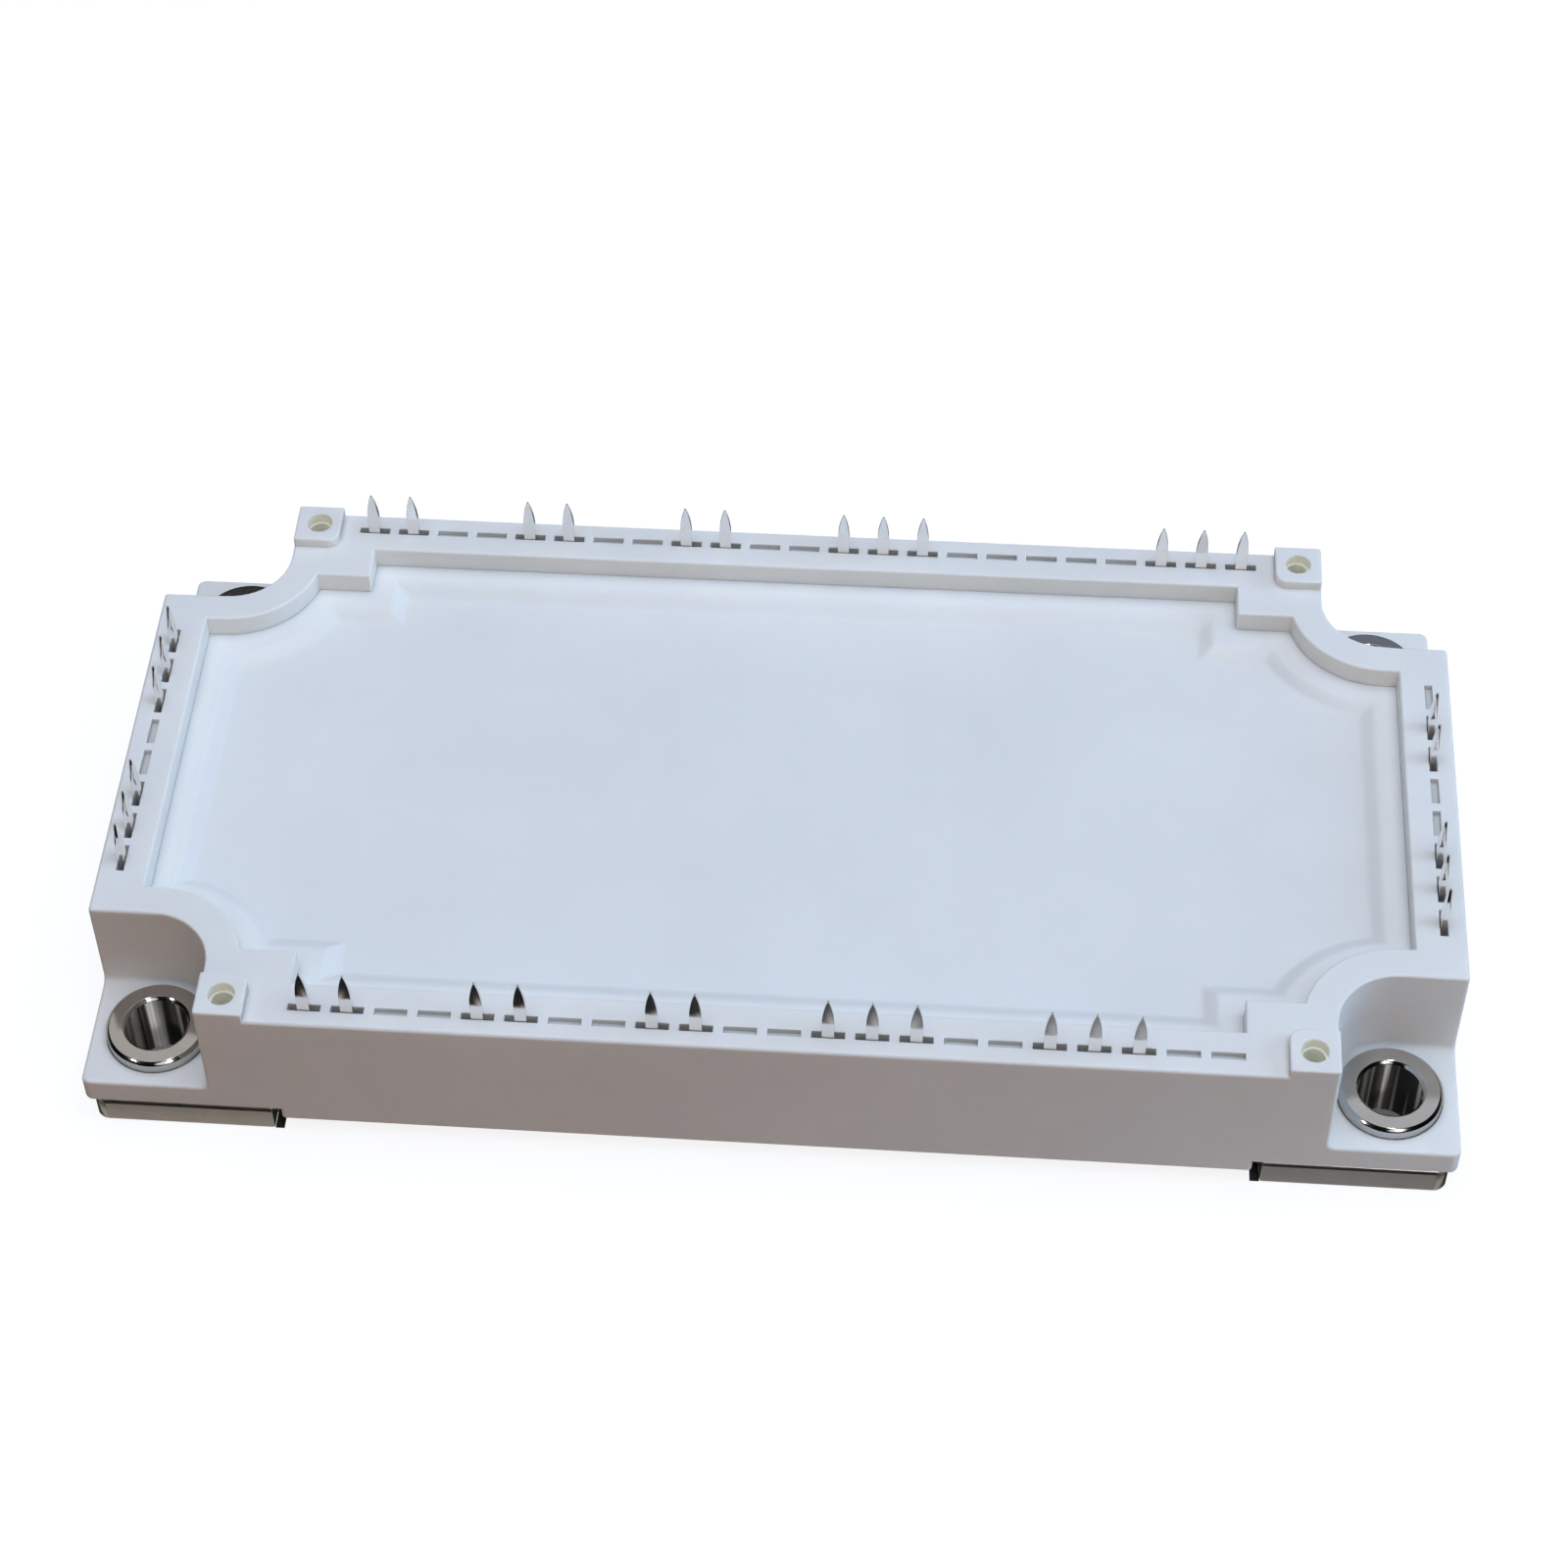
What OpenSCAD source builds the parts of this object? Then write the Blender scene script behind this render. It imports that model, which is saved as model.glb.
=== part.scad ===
// Power module with a three-phase rectifier bridge: flat base plate, moulded
// frame with rows of terminal pins on all four sides, sunk lid. Millimetres.
// Z is up, X runs along the length, Y away from the front long side.
// The origin is the middle of the mounting face, z = 0.

/* [Housing] */
// Overall length of the housing
body_l = 122; // [120:0.5:136]
// Overall width of the housing
body_w = 62; // [60:0.5:72]
// Height of the rim above the mounting face
rim_z = 16; // [15:0.1:18]
// Height of the four corner flanges above the mounting face
flange_z = 5.8; // [5:0.1:7]
// Width of the rim between the outer faces and the lid opening
rim_w = 4.6; // [4:0.1:5.4]
// Radius of the screw head clearance round each mounting screw
notch_r = 5.5; // [5.2:0.1:6]
// Fillet where the notch walls meet the flanges
notch_fillet = 0.7; // [0.2:0.1:0.8]
// Wall left between a corner notch and the lid opening
corner_wall = 3.1; // [2.4:0.1:3.8]
// Length of the wide rim pads at the corners, from the ends
pad_l = 19.45; // [18:0.05:22]
// Width of the wide rim pads at the corners, from the long sides
pad_w = 8.15; // [7.4:0.05:9.4]
// Outside corner radius of the flanges
flange_r = 0.8; // [0.4:0.1:2]
// Thickness of the skirts that reach down past the base plate
skirt_t = 1.6; // [1:0.1:2]
// How far the skirts reach below the top of the base plate
skirt_drop = 1.3; // [0.6:0.1:2]
// Length of the skirts at the two ends
skirt_end_l = 34; // [26:0.5:36]

/* [Base plate] */
// Thickness of the base plate
plate_t = 3; // [2.5:0.1:4]
// Setback of the plate from the end faces of the housing
plate_set_x = 0.6; // [0.2:0.05:1]
// Setback of the plate from the long faces of the housing
plate_set_y = 0.15; // [0.1:0.05:0.6]
// Length of a corner ear along the long side, from the housing end
ear_l = 17; // [15:0.1:19]
// Corner radius of the ears
ear_r = 1.2; // [0.6:0.1:2]
// Chamfer along the upper outer edges of the plate
plate_ch = 0.4; // [0.2:0.05:0.8]
// Gap between an ear and the skirt beside it
ear_gap = 0.8; // [0.4:0.1:1.2]
// Clearance between the plate edge and the inside of a skirt
skirt_clear = 0.2; // [0.1:0.05:0.4]

/* [Fixings] */
// Distance of the mounting screws from both outer faces
screw_inset = 6; // [5.6:0.1:6.6]
// Clear bore for the mounting screws
screw_d = 5.5; // [4.5:0.1:5.7]
// Outside diameter of the mounting bushings
bushing_d = 9.2; // [8.2:0.1:9.6]
// How far a bushing stands proud of its flange
bushing_proud = 1.2; // [0.4:0.1:1.8]
// Edge chamfer of the bushings
bushing_ch = 0.3; // [0.1:0.05:0.5]
// Clearance of a bushing in its flange hole, on the diameter
bushing_clear = 0.1; // [0.05:0.05:0.3]
// Distance of the board screw holes from the end faces
board_inset_x = 13.75; // [13.4:0.05:14.2]
// Distance of the board screw holes from the long faces
board_inset_y = 2.25; // [2.1:0.05:2.6]
// Diameter of the board screw holes
board_hole_d = 2; // [1.6:0.1:2.2]
// Depth of the board screw holes
board_hole_depth = 10; // [6:0.5:10]
// Diameter of the wider mouth of the board screw holes
board_mouth_d = 2.4; // [2.3:0.1:3]
// Depth of the wider mouth of the board screw holes
board_mouth_depth = 1.1; // [0.4:0.1:2]
// Height of the raised board seats above the rim
seat_h = 1; // [0.4:0.1:1.6]
// Reach of a board seat from its screw hole towards the middle
seat_reach = 2.15; // [1.8:0.05:2.4]
// Radius of the inner corner of a board seat
seat_r = 1.2; // [0.5:0.1:1.6]

/* [Lid] */
// Depth of the lid face below the rim
lid_drop = 2.2; // [1.6:0.1:2.8]
// Thickness of the lid at its edge
lid_t = 2; // [1.6:0.1:2.4]
// Gap between the lid and the frame
lid_gap = 0.1; // [0.05:0.05:0.5]
// Width of the shelf in the frame that carries the lid
shelf_w = 1.4; // [1:0.1:1.8]
// Width of the flat band round the lid
band_w = 2.1; // [1.6:0.1:2.6]
// Width of the slope down to the middle panel
slope_w = 1.2; // [0.8:0.1:1.6]
// Depth of the middle panel below the band
slope_h = 0.8; // [0.4:0.1:1]

/* [Terminals] */
// Spacing of the terminal pins
pitch = 3.81; // [3.6:0.01:3.9]
// Distance of the pin rows from the outer faces
pin_inset = 2; // [1.8:0.05:2.2]
// Height of the pin tips above the mounting face
pin_z = 20.7; // [20:0.1:24]
// Width of a pin
pin_w = 1.1; // [0.9:0.05:1.3]
// Thickness of a pin
pin_t = 0.6; // [0.5:0.05:0.8]
// Length of the pointed tip
tip_l = 3; // [2.2:0.1:3.4]
// Thickness left at the end of the tip
tip_t = 0.24; // [0.1:0.02:0.4]
// Length by which the rounded point is cut short
tip_cut = 0.24; // [0.1:0.02:0.4]
// Length of a pin slot along its row
slot_l = 2.9; // [2.6:0.05:3.1]
// Clearance of a pin in its slot, across the row
slot_gap = 0.1; // [0.05:0.05:0.3]
// Depth of the slots that hold no pin
slot_blank = 0.6; // [0.4:0.1:4]
// Depth of the pin shoulders below the rim
shoulder_drop = 3; // [1:0.1:4]
// Clearance of the pin shoulders in their slot, along the row
shoulder_gap = 0.2; // [0.1:0.05:0.4]
// Height of the ledge that carries the pin feet
ledge_z = 6.4; // [5.8:0.1:7]
// Length of a pin foot, from the pin row inwards
foot_l = 7.4; // [7:0.1:7.8]
// Clearance round a pin foot where it passes through the frame
foot_gap = 0.2; // [0.1:0.05:0.4]
// Width of the ledge past the end of the pin feet
ledge_lip = 0.6; // [0.2:0.1:1]

/* [Inside] */
// Clearance between the substrates and the ledges at the two ends
sub_clear_x = 4.5; // [2:0.1:6]
// Clearance between the substrates and the ledges along the long sides
sub_clear_y = 3; // [1.5:0.1:4.5]
// Gap between the two substrates
sub_gap = 3; // [2:0.5:5]
// Bare edge of the ceramic beyond its copper
sub_edge = 0.6; // [0.4:0.1:1]
// Thickness of the ceramic
ceramic_t = 0.4; // [0.3:0.05:0.7]
// Thickness of each copper layer
copper_t = 0.3; // [0.2:0.05:0.4]
// Gap between neighbouring copper areas
copper_gap = 0.8; // [0.5:0.1:1]
// Length of a landing pad for a pin wire, along its row
pad_along = 2.6; // [2:0.1:3]
// Width of a landing pad for a pin wire, across its row
pad_across = 2; // [1.4:0.1:2.2]
// Thickness of the semiconductor chips with their solder
chip_t = 0.3; // [0.2:0.05:0.4]
// Side of a rectifier chip
rect_chip = 6.6; // [5:0.1:6.8]
// Length of a switch chip and of the freewheel chip beside it
switch_chip = 9; // [7:0.1:9.2]
// Width of a freewheel chip
wheel_chip = 4; // [3:0.1:4.2]
// Side of the brake switch chip, and length of the brake diode chip
brake_chip = 6.4; // [5:0.1:6.6]
// Width of the brake diode chip
brake_wheel = 5; // [4:0.1:6]
// Clearance between neighbouring chips and to the edge of their copper
chip_gap = 0.4; // [0.2:0.05:0.5]
// Length of the temperature sensor
sensor_l = 3.2; // [2:0.1:4]
// Width of the temperature sensor
sensor_w = 1.6; // [1:0.1:2]
// Height of the temperature sensor
sensor_h = 1.1; // [0.6:0.1:1.6]
// Width of the bond wires
wire_w = 0.4; // [0.2:0.05:0.5]
// Rise of the pin wires above the pin feet
wire_rise = 2; // [1.6:0.1:2.4]
// Rise of the chip wires above the copper
loop_rise = 3; // [2:0.1:4]
// Depth of gel over the highest wires
gel_cover = 0.4; // [0.2:0.1:0.8]

/* [Hidden] */
$fn = 48;
// overshoot of a cut past the face that it opens
cut = 1;
// half sizes
hl = body_l / 2;
hw = body_w / 2;
// axes of the mounting screws and of the board screws
sx = hl - screw_inset;
sy = hw - screw_inset;
bx = hl - board_inset_x;
by = hw - board_inset_y;
// lid opening: long middle part, wide end parts, radius about the mounting screws
open_x1 = hl - pad_l;
open_y1 = hw - rim_w;
open_x2 = hl - rim_w;
open_y2 = hw - pad_w;
open_r = notch_r + corner_wall;
lid_z = rim_z - lid_drop;
shelf_z = lid_z - lid_t;
// pin rows: 0 front, 1 rear, 2 left, 3 right, with the slots that hold a pin
long_slots = 1 + floor(2 * (bx - seat_reach - slot_l / 2) / pitch);
end_slots = 1 + floor(2 * (sy - open_r - slot_l / 2) / pitch);
row_slots = [long_slots - 1, long_slots, end_slots, end_slots];
row_sign = [1, -1, 1, -1];
row_turn = [0, 180, -90, 90];
row_pins = [[1, 2, 5, 6, 9, 10, 13, 14, 15, 18, 19, 20],
            [1, 2, 5, 6, 9, 10, 13, 14, 15, 21, 22, 23],
            [1, 2, 3, 6, 7, 8],
            [2, 3, 6, 7, 8]];
row_out = [hw - pin_inset, hw - pin_inset, hl - pin_inset, hl - pin_inset];
pins = [for (r = [0:3]) for (k = row_pins[r]) if (k <= row_slots[r]) [r, k]];
function along(r, k) = row_sign[r] * (k - (row_slots[r] + 1) / 2) * pitch;
function has_pin(r, k) = len([for (j = row_pins[r]) if (j == k) j]) > 0;
// pins
slot_w = pin_t + slot_gap;
shoulder_w = slot_l - shoulder_gap;
shoulder_z = rim_z - shoulder_drop;
foot_top = ledge_z + pin_t;
tip_z = pin_z - tip_l;
ogive_r = (pow(tip_l + tip_cut, 2) + pow(pin_w / 2, 2)) / pin_w;
// space under the lid and ledges in it, long enough for the rows of feet
function row_reach(n) = (n - 1) / 2 * pitch + slot_l / 2 + foot_gap;
cav_x1 = row_reach(long_slots);
cav_y1 = open_y1 - shelf_w;
cav_x2 = open_x2 - shelf_w;
cav_y2 = open_y2 - shelf_w;
cav_r = open_r + shelf_w;
ledge_y = row_out[0] - foot_l - ledge_lip;
ledge_x = row_out[2] - foot_l - ledge_lip;
ledge_end = row_reach(end_slots);
// substrates: 0 left, 1 right
sub_side = [-1, 1];
sub_end = ledge_x - sub_clear_x;
sub_l = sub_end - sub_gap / 2;
sub_w = 2 * (ledge_y - sub_clear_y);
sub_x = (sub_l + sub_gap) / 2;
ceramic_z = plate_t + copper_t;
copper_z = ceramic_z + ceramic_t;
chip_z = copper_z + copper_t;
chip_top = chip_z + chip_t;
// copper areas in columns, two rows, inside the landing pads
cols = [4, 3];
area_x = sub_l / 2 - sub_edge - pad_across - copper_gap;
area_y = sub_w / 2 - sub_edge - pad_across - copper_gap;
function col_pitch(s) = 2 * area_x / cols[s];
function col_x(s, c) = sub_side[s] * sub_x + (c - (cols[s] - 1) / 2) * col_pitch(s);
rect_y = (area_y + copper_gap / 2) / 2;
wheel_y = area_y - chip_gap - wheel_chip / 2;
switch_w = area_y - copper_gap / 2 - wheel_chip - 3 * chip_gap;
switch_y = copper_gap / 2 + chip_gap + switch_w / 2;
brake_wheel_y = area_y - chip_gap - brake_wheel / 2;
sensor_y = (copper_gap / 2 + brake_wheel_y - brake_wheel / 2) / 2;
// wires: where they land, how high they run
land_y = sub_w / 2 - sub_edge - pad_across / 2;
land_x = sub_x + sub_l / 2 - sub_edge - pad_across / 2;
wire_end = foot_l - wire_w - shoulder_gap;
wire_top = foot_top + wire_rise;
gel_z = wire_top + wire_w / 2 + gel_cover;
function land_in(r) = row_out[r] - (r < 2 ? land_y : land_x);
function row_side(r, k) = row_sign[r] * along(r, k) < 0 ? -1 : 1;
function pin_side(r, k) = r < 2 ? row_side(r, k) : sub_side[r - 2];

// Shapes used more than once

// rectangle by its half sizes
module rect2(x, y) {
    square([2 * x, 2 * y], center = true);
}

module round_rect2(x, y, r) {
    rect2(x - r, y);
    rect2(x, y - r);
    for (i = [-1, 1]) for (j = [-1, 1]) translate([i * (x - r), j * (y - r)]) circle(r);
}

// children at all four corners, mirrored from the rear right one
module four_corners() {
    for (i = [0, 1]) for (j = [0, 1]) mirror([i, 0, 0]) mirror([0, j, 0]) children();
}

// rectangle by half sizes x, y at height z0 that tapers to x - d, y - d at height z1
module tapered(x, y, d, z0, z1) {
    intersection() {
        rotate([90, 0, 0]) linear_extrude(body_l, center = true)
            polygon([[-x, z0], [x, z0], [x - d, z1], [d - x, z1]]);
        rotate([90, 0, 90]) linear_extrude(2 * body_l, center = true)
            polygon([[-y, z0], [y, z0], [y - d, z1], [d - y, z1]]);
    }
}

// box with its middle at x = 0, from y0 to y1 and from z0 to z1
module bar(w, y0, y1, z0, z1) {
    translate([-w / 2, y0, z0]) cube([w, y1 - y0, z1 - z0]);
}

// region kept clear about each mounting screw, open towards the corner
module corner_clear(r) {
    four_corners() translate([sx, sy]) {
        circle(r);
        translate([0, -r]) square([hl, r + hw]);
        translate([-r, 0]) square([r + hl, hw]);
    }
}

// outline of the lid opening, drawn in by d
module opening(d) {
    rect2(open_x1 - d, open_y1 - d);
    difference() {
        rect2(open_x2 - d, open_y2 - d);
        corner_clear(open_r + d);
    }
}

// outline of the space under the lid
module cavity() {
    rect2(cav_x1, cav_y1);
    difference() {
        rect2(cav_x2, cav_y2);
        corner_clear(cav_r);
    }
}

// outline of the ledges that carry the pin feet
module ledges() {
    for (j = [-1, 1]) translate([0, j * (ledge_y + cav_y1) / 2])
        rect2(cav_x1, (cav_y1 - ledge_y) / 2);
    for (i = [-1, 1]) translate([i * (ledge_x + cav_x2) / 2, 0])
        rect2((cav_x2 - ledge_x) / 2, ledge_end);
}

// frame of a pin row: x along the row, y inwards
module at_row(r) {
    rotate(row_turn[r]) translate([0, -row_out[r], 0]) children();
}

module at_pin(p) {
    at_row(p[0]) translate([along(p[0], p[1]), 0, 0]) children();
}

// Base plate

module plate_outline() {
    recess = skirt_t + skirt_clear;
    difference() {
        round_rect2(hl - plate_set_x, hw - plate_set_y, ear_r);
        for (j = [-1, 1]) translate([0, j * hw]) rect2(hl - ear_l, recess);
        for (i = [-1, 1]) translate([i * hl, 0]) rect2(recess, skirt_end_l / 2 + ear_gap);
    }
}

module base_plate() {
    color([0.72, 0.71, 0.68]) difference() {
        intersection() {
            linear_extrude(plate_t) plate_outline();
            union() {
                linear_extrude(plate_t - plate_ch) rect2(hl, hw);
                tapered(hl - plate_set_x, hw - plate_set_y, plate_ch, plate_t - plate_ch, plate_t);
            }
        }
        four_corners() translate([sx, sy, -cut]) cylinder(d = screw_d, h = plate_t + 2 * cut);
    }
}

// Housing frame

module body_outline() {
    difference() {
        rect2(hl, hw);
        corner_clear(notch_r);
    }
}

module skirts() {
    for (j = [-1, 1]) translate([0, j * (hw - skirt_t / 2)]) rect2(hl - ear_l - ear_gap, skirt_t / 2);
    for (i = [-1, 1]) translate([i * (hl - skirt_t / 2), 0]) rect2(skirt_t / 2, skirt_end_l / 2);
}

module board_seat() {
    x0 = bx - seat_reach;
    x1 = sx - notch_r;
    translate([x0 + seat_r, open_y1 + seat_r]) circle(seat_r);
    translate([x0 + seat_r, open_y1]) square([x1 - x0 - seat_r, rim_w]);
    translate([x0, open_y1 + seat_r]) square([x1 - x0, rim_w - seat_r]);
}

// concave fillet round one notch, along both straight walls and the round one
module fillet() {
    r = min(notch_fillet, notch_r - (bushing_d + bushing_clear) / 2);
    module section() {
        difference() {
            square(r);
            translate([r, r]) circle(r, $fn = 24);
        }
    }
    translate([sx, sy, flange_z]) {
        rotate([0, 0, 180]) rotate_extrude(angle = 90) translate([notch_r, 0]) mirror([1, 0]) section();
        translate([0, -notch_r, 0]) rotate([90, 0, 90]) linear_extrude(screw_inset) section();
        translate([-notch_r, screw_inset, 0]) rotate([90, 0, 0]) linear_extrude(screw_inset) section();
    }
}

// slots along the rows, deep where a pin stands, with a way through for its foot
module pin_slots() {
    for (r = [0:3]) for (k = [1:row_slots[r]]) at_pin([r, k]) {
        bottom = has_pin(r, k) ? ledge_z : rim_z - slot_blank;
        bar(slot_l, -slot_w / 2, slot_w / 2, bottom, rim_z + cut);
        if (has_pin(r, k)) bar(slot_l, -slot_w / 2, foot_l + foot_gap, ledge_z, foot_top + foot_gap);
    }
}

module housing_frame() {
    color([0.93, 0.93, 0.91]) difference() {
        union() {
            difference() {
                translate([0, 0, plate_t]) {
                    linear_extrude(flange_z - plate_t) round_rect2(hl, hw, flange_r);
                    linear_extrude(rim_z - plate_t) body_outline();
                }
                translate([0, 0, plate_t - cut]) linear_extrude(shelf_z - plate_t + cut) cavity();
                translate([0, 0, shelf_z]) linear_extrude(rim_z) opening(0);
            }
            four_corners() fillet();
            translate([0, 0, plate_t]) linear_extrude(ledge_z - plate_t) ledges();
            translate([0, 0, plate_t - skirt_drop]) linear_extrude(skirt_drop + flange_z - plate_t) skirts();
            translate([0, 0, shelf_z]) linear_extrude(rim_z + seat_h - shelf_z) four_corners() board_seat();
        }
        four_corners() {
            translate([sx, sy, plate_t - cut]) cylinder(d = bushing_d + bushing_clear, h = flange_z);
            translate([bx, by, rim_z + seat_h]) {
                translate([0, 0, -board_hole_depth])
                    cylinder(d = board_hole_d, h = board_hole_depth, $fn = 24);
                translate([0, 0, -board_mouth_depth])
                    cylinder(d = board_mouth_d, h = board_mouth_depth + cut, $fn = 24);
            }
        }
        pin_slots();
    }
}

// Lid

// hollow over the middle panel, with sides that slope up and out to the flat band
module panel_hollow(d) {
    deep = slope_h + cut;
    wide = slope_w * deep / slope_h;
    top_w = wide - slope_w;
    tapered(open_x1 - d + top_w, open_y1 - d + top_w, wide, cut, -slope_h);
    difference() {
        tapered(open_x2 - d + top_w, open_y2 - d + top_w, wide, cut, -slope_h);
        four_corners() translate([sx, sy, -slope_h])
            cylinder(r1 = open_r + d + slope_w, r2 = open_r + d - top_w, h = deep);
    }
}

module lid() {
    color([0.94, 0.94, 0.92]) difference() {
        translate([0, 0, shelf_z]) linear_extrude(lid_t) opening(lid_gap);
        translate([0, 0, lid_z]) panel_hollow(lid_gap + band_w);
    }
}

// Fixings and terminals

module mounting_bushing(i) {
    h = flange_z + bushing_proud - plate_t;
    ro = bushing_d / 2;
    ri = screw_d / 2;
    c = bushing_ch;
    color([0.78, 0.77, 0.74])
        translate([(i % 2 == 1 ? -1 : 1) * sx, (i > 2 ? 1 : -1) * sy, plate_t]) rotate_extrude()
            polygon([[ri, 0], [ro - c, 0], [ro, c], [ro, h - c], [ro - c, h], [ri + c, h], [ri, h - c]]);
}

// outline of a pin seen across its row, with a round-sided point
module pin_outline() {
    translate([-shoulder_w / 2, ledge_z]) square([shoulder_w, shoulder_z - ledge_z]);
    translate([-pin_w / 2, ledge_z]) square([pin_w, tip_z - ledge_z]);
    intersection() {
        translate([ogive_r - pin_w / 2, tip_z]) circle(ogive_r, $fn = 96);
        translate([pin_w / 2 - ogive_r, tip_z]) circle(ogive_r, $fn = 96);
        translate([-pin_w / 2, tip_z]) square([pin_w, tip_l]);
    }
}

module terminal_pin(i) {
    slope = (pin_t - tip_t) / 2 / tip_l;
    tip_over = tip_t / 2 - slope * cut;
    color([0.80, 0.80, 0.78]) at_pin(pins[i - 1]) {
        difference() {
            translate([0, pin_t / 2, 0]) rotate([90, 0, 0]) linear_extrude(pin_t) pin_outline();
            for (j = [-1, 1]) rotate([90, 0, 90]) linear_extrude(2 * pin_w, center = true)
                polygon([[j * pin_t / 2, tip_z], [j * (pin_t / 2 + cut), tip_z],
                         [j * (pin_t / 2 + cut), pin_z + cut], [j * tip_over, pin_z + cut]]);
        }
        bar(shoulder_w, -pin_t / 2, foot_l, ledge_z, foot_top);
    }
}

// Circuit inside the housing

module lower_copper(s) {
    color([0.78, 0.48, 0.32]) translate([sub_side[s - 1] * sub_x, 0, plate_t])
        linear_extrude(copper_t) rect2(sub_l / 2 - sub_edge, sub_w / 2 - sub_edge);
}

module ceramic_substrate(s) {
    color([0.95, 0.94, 0.90]) translate([sub_side[s - 1] * sub_x, 0, ceramic_z])
        linear_extrude(ceramic_t) rect2(sub_l / 2, sub_w / 2);
}

module circuit_copper(s) {
    w = col_pitch(s - 1) - copper_gap;
    h = area_y - copper_gap / 2;
    color([0.80, 0.52, 0.36]) translate([0, 0, copper_z]) linear_extrude(copper_t) {
        for (c = [0:cols[s - 1] - 1]) for (j = [-1, 1]) translate([col_x(s - 1, c), j * rect_y])
            square([w, h], center = true);
        for (p = pins) if (pin_side(p[0], p[1]) == sub_side[s - 1])
            at_pin(p) translate([0, land_in(p[0])]) square([pad_along, pad_across], center = true);
    }
}

module chip(x, y, l, w) {
    translate([x - l / 2, y - w / 2, chip_z]) cube([l, w, chip_t]);
}

module rectifier_chips() {
    color([0.45, 0.46, 0.50]) for (c = [0:2]) for (j = [-1, 1])
        chip(col_x(0, c), j * rect_y, rect_chip, rect_chip);
}

module switch_chips() {
    color([0.42, 0.43, 0.48]) for (c = [0:2]) for (j = [-1, 1])
        chip(col_x(1, c), j * switch_y, switch_chip, switch_w);
}

module freewheel_chips() {
    color([0.50, 0.50, 0.54]) for (c = [0:2]) for (j = [-1, 1])
        chip(col_x(1, c), j * wheel_y, switch_chip, wheel_chip);
}

module brake_chips() {
    color([0.47, 0.47, 0.52]) {
        chip(col_x(0, 3), rect_y, brake_chip, brake_chip);
        chip(col_x(0, 3), -brake_wheel_y, brake_chip, brake_wheel);
    }
}

module temperature_sensor() {
    color([0.25, 0.25, 0.27]) translate([col_x(0, 3) - sensor_l / 2, -sensor_y - sensor_w / 2, chip_z])
        cube([sensor_l, sensor_w, sensor_h]);
}

// arched wire in the y-z plane, from y0 at height z0 to y1 at height z1, with cut-off bends
module wire(y0, z0, y1, z1, top) {
    w = wire_w / 2;
    bend = 2 * wire_w;
    inner = w * (3 - 2 * sqrt(2)) - bend;
    rotate([90, 0, 90]) linear_extrude(wire_w, center = true)
        polygon([[y0 - w, z0], [y0 - w, top + w - bend], [y0 - w + bend, top + w],
                 [y1 + w - bend, top + w], [y1 + w, top + w - bend], [y1 + w, z1],
                 [y1 - w, z1], [y1 - w, top + inner], [y1 + inner, top - w],
                 [y0 - inner, top - w], [y0 + w, top + inner], [y0 + w, z0]]);
}

module all_wires() {
    loop_z = chip_z + loop_rise;
    // from a rectifier chip to the copper of the other row, near the gap between them
    rect_land = copper_gap / 2 + wire_w;
    for (p = pins) at_pin(p) wire(wire_end, foot_top, land_in(p[0]), chip_z, wire_top);
    for (c = [0:2]) for (j = [0, 1]) rotate(180 * j) {
        translate([(1 - 2 * j) * col_x(0, c) + rect_chip / 4, 0, 0])
            wire(-rect_land, chip_z, rect_y, chip_top, loop_z);
        for (i = [-1, 1]) translate([(1 - 2 * j) * col_x(1, c) + i * switch_chip / 4, 0, 0])
            wire(switch_y, chip_top, wheel_y, chip_top, loop_z);
    }
}

module bond_wires() {
    color([0.86, 0.86, 0.86]) all_wires();
}

// soft gel that fills the space up to gel_z, cut round all that stands in it
module silicone_gel() {
    color([0.86, 0.90, 0.92, 0.6]) difference() {
        translate([0, 0, plate_t]) linear_extrude(gel_z - plate_t) cavity();
        translate([0, 0, plate_t - cut]) linear_extrude(ledge_z - plate_t + cut) ledges();
        for (s = [1, 2]) {
            translate([0, 0, -cut]) lower_copper(s);
            lower_copper(s);
            ceramic_substrate(s);
            circuit_copper(s);
        }
        rectifier_chips();
        switch_chips();
        freewheel_chips();
        brake_chips();
        temperature_sensor();
        for (p = pins) at_pin(p) bar(shoulder_w, 0, foot_l, ledge_z, foot_top);
        all_wires();
    }
}

base_plate();
housing_frame();
lid();
for (i = [1:4]) mounting_bushing(i);
for (i = [1:len(pins)]) terminal_pin(i);
for (s = [1:2]) lower_copper(s);
for (s = [1:2]) ceramic_substrate(s);
for (s = [1:2]) circuit_copper(s);
rectifier_chips();
switch_chips();
freewheel_chips();
brake_chips();
temperature_sensor();
bond_wires();
silicone_gel();
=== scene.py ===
import math

import bmesh
import bpy
from mathutils import Matrix, Vector


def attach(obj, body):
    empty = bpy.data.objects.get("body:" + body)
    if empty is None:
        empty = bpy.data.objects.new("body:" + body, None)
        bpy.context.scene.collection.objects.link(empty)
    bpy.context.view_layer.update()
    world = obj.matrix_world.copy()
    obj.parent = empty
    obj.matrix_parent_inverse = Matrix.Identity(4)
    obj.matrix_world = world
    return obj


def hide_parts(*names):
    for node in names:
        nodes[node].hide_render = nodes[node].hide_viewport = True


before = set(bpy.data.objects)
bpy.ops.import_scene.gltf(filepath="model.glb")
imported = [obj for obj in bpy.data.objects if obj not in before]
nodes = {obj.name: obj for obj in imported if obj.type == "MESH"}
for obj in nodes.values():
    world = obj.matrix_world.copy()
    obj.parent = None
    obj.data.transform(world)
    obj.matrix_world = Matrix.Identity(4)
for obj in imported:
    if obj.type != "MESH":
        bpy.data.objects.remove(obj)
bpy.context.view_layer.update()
mm = 0.001               # the frame is in metres, sizes here are in millimetres
print("frame loaded,", len(nodes), "nodes")

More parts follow.
